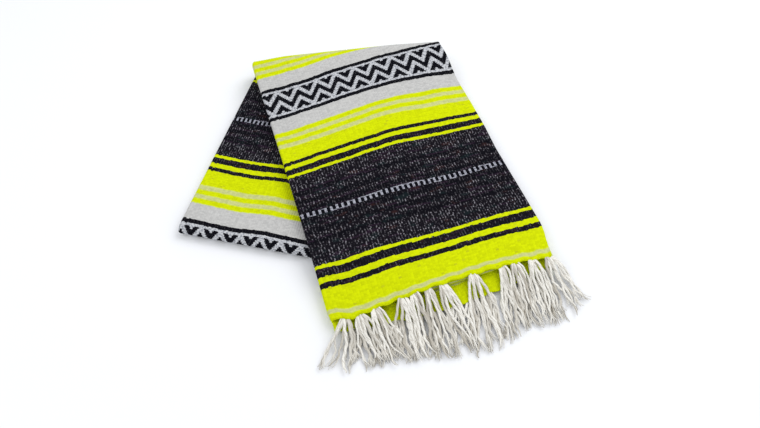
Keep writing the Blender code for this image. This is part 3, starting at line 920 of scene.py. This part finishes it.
    grain = n.add(n.mul(speck, GRAIN_STITCH), n.mul(fibre, 1 - GRAIN_STITCH))
    grain = n.ramp(grain, *GRAIN)
    yellow = n.blend(grain, YELLOW, YELLOW_DEEP)
    yellow = n.blend(n.mul(n.over(tone, OLIVE_CHANCE), OLIVE_SHARE), yellow, OLIVE)
    white = n.blend(grain, WHITE, WHITE_DEEP)
    fleck = n.ramp(n.noise(n.point(n.mul(u, FLECK_SPREAD), v, FLECK_DRAW), FLECK_SCALE), *FLECK)
    white = n.blend(in_band, white, n.blend(fleck, BAND_WHITE, BAND_DEEP))
    pale = n.blend(grain, PALE, PALE_DEEP)
    colour = n.blend(masks["yellow"], charcoal, yellow)
    colour = n.blend(masks["pale"], colour, pale)
    colour = n.blend(masks["white"], colour, white)
    colour = n.blend(dash, colour, n.blend(fleck, DASHES, DASHES_DEEP))
    colour = n.blend(n.mul(black, n.sub(1.0, n.mul(fibre_highlight, 0.10))), colour, BLACK)

    # The relief: each stitch is a small pillow between two ribs. The colour is darkened towards
    # the crevices between the pillows as painted shade, less on the light colours, and mottled at
    # random
    pillow = n.sub(1.0, n.mul(n.mul(in_rib, in_rib), PILLOW_RIB))
    pillow = n.mul(pillow, n.sub(1.0, n.mul(n.mul(in_pick, in_pick), PILLOW_PICK)))
    pillow = n.add(pillow, n.mul(fibre, PILLOW_FIBRE))
    crevice = n.ramp(pillow, *CREVICE_SHADE)
    light = n.math("MAXIMUM", masks["yellow"], n.math("MAXIMUM", masks["white"], masks["pale"]))
    least = n.add(n.mul(light, CREVICE_SHADE_EASED), CREVICE_SHADE_LEAST)
    mottle = n.mul(n.noise(n.point(n.mul(u, 0.5), v), MOTTLE_SCALE), MOTTLE)
    mottle = n.add(mottle, 1 - MOTTLE / 2)
    # painted shade: the colour is multiplied darker in the crevices between stitches, and by a
    # random mottle
    crevice_shade_and_mottle = n.tree.nodes.new("ShaderNodeMix")
    crevice_shade_and_mottle.data_type = "RGBA"
    crevice_shade_and_mottle.blend_type = "MULTIPLY"
    crevice_shade_and_mottle.inputs["Factor"].default_value = 1.0
    n.put(colour, crevice_shade_and_mottle.inputs[6])
    n.put(n.mul(n.add(least, n.mul(n.sub(1.0, least), crevice)), mottle), crevice_shade_and_mottle.inputs[7])
    bump = n.tree.nodes.new("ShaderNodeBump")
    bump.inputs["Strength"].default_value = BUMP
    bump.inputs["Distance"].default_value = BUMP_HEIGHT
    n.put(n.mul(pillow, n.sub(1.0, n.mul(light, BUMP_LIGHT))), bump.inputs["Height"])
    n.put(crevice_shade_and_mottle.outputs[2], n.shader.inputs["Base Color"])
    n.put(bump.outputs[0], n.shader.inputs["Normal"])
    n.shader.inputs["Roughness"].default_value = 1.0
    n.shader.inputs["Specular IOR Level"].default_value = 0.03
    return n.material


TWIST = 0.0240  # length of one turn of the yarn's two plies
# A yarn's colour lies at random between a dark and a light cream: partly the yarns' own tone,
# partly painted shade that stands in for the lower yarns lying in the shade of the upper ones
YARN_SHADED_AND_LIT = [(0.36, 0.33, 0.275), (0.82, 0.805, 0.755)]
YARN_TONE_AND_SHADE_RAMP = (-0.2, 0.7)
FIBRE_COLOUR = (0.46, 0.425, 0.36)
FIBRE_AT = (0.35, 0.75)
FIBRE_SHARE = 0.45
FIBRE_HEIGHT = 0.6
# painted shade in the groove between the yarn's two plies: its colour, the groove's width and how
# strongly it darkens
GROOVE_SHADE_COLOUR = (0.30, 0.265, 0.21)
GROOVE = (0.16, 0.02)
GROOVE_SHADE_SHARE = 0.40
YARN_GIRTH = 0.006
YARN_FIBRES = 700.0


def yarn_material():
    n = Nodes("cotton_yarn")
    uv = n.tree.nodes.new("ShaderNodeUVMap")
    uv.uv_map = "weave"
    split = n.tree.nodes.new("ShaderNodeSeparateXYZ")
    n.tree.links.new(uv.outputs[0], split.inputs[0])
    strand, along = split.outputs[0], split.outputs[1]
    # each yarn draws its darkness at random: its own tone and painted shade of the lower yarns
    kind = n.chance(n.math("FLOOR", strand), 1.0)
    angle = n.math("FRACT", strand)
    turn = n.math("FRACT", n.mul(n.sub(angle, n.div(along, TWIST)), 2.0))
    groove = n.ramp(n.size(n.sub(turn, 0.5)), *GROOVE)
    place = n.point(n.mul(angle, YARN_GIRTH), along, n.math("FLOOR", strand))
    fibre = n.noise(place, YARN_FIBRES)
    colour = n.blend(n.ramp(kind, *YARN_TONE_AND_SHADE_RAMP), *YARN_SHADED_AND_LIT)
    colour = n.blend(n.mul(n.ramp(fibre, *FIBRE_AT), FIBRE_SHARE), colour, FIBRE_COLOUR)
    # painted shade: the ply groove is darkened
    colour = n.blend(n.mul(groove, GROOVE_SHADE_SHARE), colour, GROOVE_SHADE_COLOUR)
    bump = n.tree.nodes.new("ShaderNodeBump")
    bump.inputs["Strength"].default_value = 0.5
    bump.inputs["Distance"].default_value = 0.0003
    n.put(n.sub(n.mul(fibre, FIBRE_HEIGHT), groove), bump.inputs["Height"])
    n.put(colour, n.shader.inputs["Base Color"])
    n.put(bump.outputs[0], n.shader.inputs["Normal"])
    n.shader.inputs["Roughness"].default_value = 1.0
    n.shader.inputs["Specular IOR Level"].default_value = 0.05
    return n.material


# The fringe

# Tassels of the upper hem: root and middle of the tips along the hem, width at the tips
UPPER_TASSELS = [
    (0.017, -0.014, 0.054), (0.036, 0.042, 0.036), (0.058, 0.070, 0.034), (0.097, 0.086, 0.032),
    (0.114, 0.112, 0.030), (0.134, 0.134, 0.032), (0.156, 0.162, 0.030), (0.201, 0.190, 0.038),
    (0.244, 0.228, 0.032), (0.262, 0.255, 0.030), (0.288, 0.283, 0.032), (0.313, 0.318, 0.046),
]
UNDER_FIRST = 0.0272
UNDER_PITCH = 0.0265
UNDER_TASSELS = 11
UNDER_FAN = 0.030
# Sideways shift of the under tips, by the place of the root
TIP_SHIFT = [
    (0.00, -0.036), (0.03, -0.016), (0.06, -0.012), (0.10, -0.020), (0.20, -0.026),
    (0.26, -0.018), (0.32, 0.004),
]
TIP_REACH = [
    (-0.05, 0.050), (-0.02, 0.062), (0.00, 0.070), (0.03, 0.074), (0.06, 0.080),
    (0.10, 0.090), (0.14, 0.097), (0.18, 0.105), (0.22, 0.100), (0.25, 0.091),
    (0.28, 0.096), (0.31, 0.092), (0.34, 0.078),
]
# How high the yarns lie and in what length they come down, how many a tassel has, how high
# they heap and arch, and the least share of the full reach
UPPER_FRINGE = {
    "rise": 0.0022, "fall": 0.030, "yarns": 8, "pile": 0.0062, "hump": 0.0036, "least": 0.80,
}
UNDER_FRINGE = {
    "rise": 0.0, "fall": 0.014, "yarns": 6, "pile": 0.0022, "hump": 0.0006, "least": 0.76,
}
YARN = 0.00185  # radius
# A yarn's waves: size in metres and turns over its length
WAVES = [(0.0030, 1.1), (0.0013, 2.4), (0.0005, 5.0)]
WAVE_SIZES = (0.4, 1.3)  # these two are shares of what WAVES says
WAVE_TURNS = (0.7, 1.3)
HUMPS = (0.3, 1.0)
UNEVEN = 0.1  # how far a yarn strays from an even place in its head
AIM = 0.80  # how far the yarns spread, as a share of the tassel's width
STRAY = 0.30  # how far aims differ, as a share of half the tassel's width
TIP_STRAY = 0.0008
MOST_REACH = 1.02
HEAD_HALF = 0.0050
ROOT_INSIDE = 0.0012  # the yarns start this far inside the hem
ROOT_DEPTH = 0.6  # and this share of the cloth's thickness below its top
ROOT_HEIGHTS = (-0.0014, 0.0003)
BELLY = 0.0040  # how far a tassel swells below its head
ARCH = 0.030  # length of the arch over the hem's edge
QUIVER = 0.0004
QUIVER_TURNS = (2, 4)
LOCKS = 2.5  # yarns gather in this many locks for half a tassel
LOCK_PULL = 0.55
UNDER_SETTLED = 0.034  # the yarns lie on the floor this far beyond the under hem
UNDER_REST = 0.0013
SIDES = 8
THIN_SIDES = 5
UV_TURN = 0.98  # a turn about the yarn takes this much of its place in the map
THICKNESSES = (0.85, 1.15)
# Where along a yarn its taper starts, and how thick it is near its tip
TAPER = (0.85, 0.66)
TAPER_FRAYED = (0.55, 0.36)
PLY_LOBES = 0.08  # the two plies swell the yarn by this share
FRAYED = 0.8  # share of the yarns whose ends open
FRAY_START = (0.52, 0.72)
FRAY_CURVE = 1.5
FRAY_WIDTH = (0.0012, 0.0042)
FRAY_LENGTH = 0.004
FRAY_HEIGHT = 0.001
FRAY_LEAST = 0.6  # least height of a thin end's middle, in radii of the yarn
THIN_PLACES = (0, 0.3, 1)
THIN_SIZES = (0.35, 0.50, 0.22)
RINGS = 48
LEAST_HEIGHT = 1.26  # of a yarn's middle line, in radii
TIP_LIMIT = 0.346  # no tip lies further to the right
TIP_LIMIT_VARIES = 0.006


def under_strand_height(beyond):
    hem = HEM_STACK - HEM_DROOP - CLOTH / 2
    return mix(hem, UNDER_REST, smooth(beyond / UNDER_SETTLED))


class Yarns:
    """Gathers twisted yarns as tubes of one mesh."""

    def __init__(self):
        self.points, self.faces, self.uvs = [], [], []
        self.count = self.strands = 0

    def add(self, line, radius, sides, lobes):
        along = np.gradient(line, axis=0)
        along /= np.linalg.norm(along, axis=1)[:, None]
        side = np.cross(along, [0.0, 0.0, 1.0])
        side /= np.maximum(np.linalg.norm(side, axis=1), 1e-6)[:, None]
        up = np.cross(side, along)
        steps = np.linalg.norm(np.diff(line, axis=0), axis=1)
        length = np.concatenate([[0.0], np.cumsum(steps)])
        share = np.arange(sides) / sides
        a = 2 * np.pi * share
        wide = 1 + lobes * np.cos(2 * (a[None, :] - 2 * np.pi * length[:, None] / TWIST))
        wide = wide * radius[:, None]
        ring = np.cos(a)[None, :, None] * side[:, None] + np.sin(a)[None, :, None] * up[:, None]
        self.points.append((line[:, None] + ring * wide[:, :, None]).reshape(-1, 3))
        rings = len(line)
        index = self.count + np.arange(rings * sides).reshape(rings, sides)
        nxt = np.roll(index, -1, axis=1)
        quads = np.stack([index[:-1], index[1:], nxt[1:], nxt[:-1]], axis=-1)
        self.faces += quads.reshape(-1, 4).tolist()
        left = np.broadcast_to(self.strands + UV_TURN * share, (rings - 1, sides))
        right = left + UV_TURN / sides
        low = np.broadcast_to(length[:-1, None], left.shape)
        high = np.broadcast_to(length[1:, None], left.shape)
        corners = [(left, low), (left, high), (right, high), (right, low)]
        self.uvs.append(np.stack([np.stack(c, -1) for c in corners], axis=2).reshape(-1, 2))
        for cap, at in ((index[0], 0.0), (index[-1][::-1], length[-1])):
            self.faces.append(cap.tolist())
            self.uvs.append(np.stack([self.strands + UV_TURN * share, share * 0 + at], axis=1))
        self.count += rings * sides
        self.strands += 1

    def made(self, name, material):
        mesh = bpy.data.meshes.new(name)
        mesh.from_pydata(np.vstack(self.points).tolist(), [], self.faces)
        layer = mesh.uv_layers.new(name="weave")
        layer.data.foreach_set("uv", np.vstack(self.uvs).astype(np.float32).ravel())
        mesh.materials.append(material)
        mesh.shade_smooth()
        made = bpy.data.objects.new(name, mesh)
        bpy.context.scene.collection.objects.link(made)
        return made


def in_space(w, s, z):
    plan = upper_plan(np.zeros_like(w), w) + s[:, None] * WARP
    return stack(plan[:, 0], plan[:, 1], z)


def yarn_line(kind, root, tip, share, dice):
    """A yarn's middle line (w, s, z): it bulges from its head, then lies down, a little wavy."""
    w0, s0, z0 = root
    w1, s1 = tip
    u = np.linspace(0.0, 1.0, RINGS)
    w = mix(w0, w1, u**1.15) + share * BELLY * np.sin(np.pi * u**0.75)
    s = mix(s0, s1, u)
    far = s0 - s
    for size, turns in WAVES:
        bend = size * dice.uniform(*WAVE_SIZES)
        wave = dice.uniform(0, 2 * math.pi)
        wave = wave + 2 * np.pi * turns * dice.uniform(*WAVE_TURNS) * u
        w = w + bend * np.sqrt(u) * np.sin(wave)
    rest = under_strand_height(under_hem_edge(w) - s) + kind["rise"]
    pile = kind["pile"] * dice.random() * (1 - share**2) * (1 - 0.5 * u)
    z = mix(z0, rest + pile, smooth(far / kind["fall"]))
    z = z + kind["hump"] * dice.uniform(*HUMPS) * np.sin(np.pi * np.clip(far / ARCH, 0, 1))
    z = z + QUIVER * np.sin(2 * np.pi * dice.uniform(*QUIVER_TURNS) * u + dice.uniform(0, 6))
    return w, s, np.maximum(z, YARN * LEAST_HEIGHT)


def tassel(yarns, kind, root, tips, fan, root_line, root_height, dice):
    """One tassel: yarns from a narrow head, spread in locks, with frayed ends."""
    count = kind["yarns"] + dice.randint(-1, 1)
    for k in range(count):
        share = (k + 0.5) / count * 2 - 1 + dice.uniform(-UNEVEN, UNEVEN)
        aim = share * AIM + dice.gauss(0, STRAY)
        lock = round(aim * LOCKS) / LOCKS
        tip_w = tips + mix(aim, lock, LOCK_PULL) * fan / 2 + dice.gauss(0, TIP_STRAY)
        tip_w = min(tip_w, TIP_LIMIT - TIP_LIMIT_VARIES * dice.random())
        far = float(read(TIP_REACH, tip_w)) * dice.uniform(kind["least"], MOST_REACH)
        root_w = root + share * HEAD_HALF
        root_s = float(root_line(np.array([root_w]))[0]) + ROOT_INSIDE
        z = root_height(root_w) + dice.uniform(*ROOT_HEIGHTS)
        w, s, z = yarn_line(kind, (root_w, root_s, z), (tip_w, -far), share, dice)
        u = np.linspace(0.0, 1.0, RINGS)
        thick = YARN * dice.uniform(*THICKNESSES)
        frayed = dice.random() < FRAYED
        first, last = TAPER_FRAYED if frayed else TAPER
        taper = np.interp(u, (0.0, 0.10, first, 0.92, 1.0), (0.70, 1.0, 1.0, last, last * 0.5))
        yarns.add(in_space(w, s, z), thick * taper, SIDES, PLY_LOBES)
        if not frayed:
            continue
        start = round(RINGS * dice.uniform(*FRAY_START))
        rest = np.linspace(0.0, 1.0, RINGS - start)
        open_up = rest**FRAY_CURVE
        for side in (-1, 1):
            w2 = w[start:] + side * open_up * dice.uniform(*FRAY_WIDTH)
            s2 = s[start:] - open_up * dice.uniform(-FRAY_LENGTH, FRAY_LENGTH)
            z2 = z[start:] + open_up * dice.uniform(-FRAY_HEIGHT, FRAY_HEIGHT)
            z2 = np.maximum(z2, YARN * FRAY_LEAST)
            thin = thick * np.interp(rest, THIN_PLACES, THIN_SIZES)
            yarns.add(in_space(w2, s2, z2)[::2], thin[::2], THIN_SIDES, 0.0)


def fringe(name, kind, rows, root_line, root_height, material, seed):
    dice = random.Random(seed)
    yarns = Yarns()
    for root, tips, fan in rows:
        tassel(yarns, kind, root, tips, fan, root_line, root_height, dice)
    return yarns.made(name, material)


def under_tassels():
    roots = [UNDER_FIRST + UNDER_PITCH * i for i in range(UNDER_TASSELS)]
    return [(root, root + float(read(TIP_SHIFT, root)), UNDER_FAN) for root in roots]


def upper_hem_height(w):
    return float(upper_levels(np.array([0.0]), np.array([w]))[2][0]) - CLOTH * ROOT_DEPTH


def under_hem_height(w):
    return HEM_STACK - HEM_DROOP - CLOTH * ROOT_DEPTH


# The studio


FLOOR_REACH = 6.0
FLOOR_COLOUR = (0.80, 0.81, 0.83, 1)
SKY_COLOUR = (0.97, 0.98, 1.0, 1)
SKY_STRENGTH = 0.95
# Each lamp's name, place, size and power
LAMPS = [
    ("key", (0.9, 0.9, 1.5), 1.2, 16.0),
    ("fill", (-1.2, -0.7, 1.3), 1.6, 6.0),
]
CAMERA_PLACE = (0.0098, -0.5867, 0.782)
CAMERA_TILT = math.radians(90 - 55.3)
LENS = 30.17
SENSOR = 36.0


def studio(shift):
    floor_mesh = bpy.data.meshes.new("floor")
    far = FLOOR_REACH
    floor_mesh.from_pydata(
        [(-far, -far, 0), (far, -far, 0), (far, far, 0), (-far, far, 0)], [], [(0, 1, 2, 3)]
    )
    floor = bpy.data.objects.new("floor", floor_mesh)
    bpy.context.scene.collection.objects.link(floor)
    paint = bpy.data.materials.new("pale_floor")
    paint.use_nodes = True
    shader = paint.node_tree.nodes["Principled BSDF"]
    shader.inputs["Base Color"].default_value = FLOOR_COLOUR
    shader.inputs["Roughness"].default_value = 0.8
    shader.inputs["Specular IOR Level"].default_value = 0.1
    floor_mesh.materials.append(paint)

    world = bpy.data.worlds.new("studio")
    world.use_nodes = True
    sky = world.node_tree.nodes["Background"]
    sky.inputs["Color"].default_value = SKY_COLOUR
    sky.inputs["Strength"].default_value = SKY_STRENGTH
    bpy.context.scene.world = world

    for name, place, size, power in LAMPS:
        light = bpy.data.lights.new(name, "AREA")
        light.energy = power
        light.size = size
        lamp = bpy.data.objects.new(name, light)
        bpy.context.scene.collection.objects.link(lamp)
        lamp.location = place
        lamp.rotation_mode = "QUATERNION"
        lamp.rotation_quaternion = (-Vector(place)).to_track_quat("-Z", "Y")

    eye = bpy.data.cameras.new("camera")
    eye.sensor_width = SENSOR
    eye.lens = LENS
    camera = bpy.data.objects.new("camera", eye)
    bpy.context.scene.collection.objects.link(camera)
    x, y, z = CAMERA_PLACE
    camera.location = (x + shift[0], y + shift[1], z)
    camera.rotation_euler = (CAMERA_TILT, 0, 0)
    bpy.context.scene.camera = camera
    bpy.context.scene.view_settings.view_transform = "Standard"


def main():
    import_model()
    weave = weave_material("weave")
    yarn = yarn_material()

    upper = thicken(grid_object("blanket_upper", *upper_rows(), weave))
    lower = thicken(grid_object("blanket_lower", *lower_rows(), weave))
    hem = thicken(grid_object("blanket_hem", *hem_rows(), weave))
    core = grid_object("blanket_layers", *core_rows(), weave, closed=True)
    top_fringe = fringe(
        "fringe_top", UPPER_FRINGE, UPPER_TASSELS, hem_line, upper_hem_height, yarn, 3
    )
    below = fringe(
        "fringe_below", UNDER_FRINGE, under_tassels(), under_hem_edge, under_hem_height, yarn, 8
    )

    # The solids stand centred: the lower strip's outline gives by how much
    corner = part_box("lower_cloth")[0]
    outline = lower_rows()[0].reshape(-1, 3).min(axis=0)
    shift = np.array([corner.x, corner.y]) - outline[:2]
    for piece, node in (
        (upper, "upper_cloth"), (lower, "lower_cloth"), (hem, "hem_cloth"),
        (core, "folded_layers"), (top_fringe, "fringe_upper"), (below, "fringe_under"),
    ):
        settle(piece, shift)
        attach(piece, "root")
        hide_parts(node)
    studio(shift)


main()
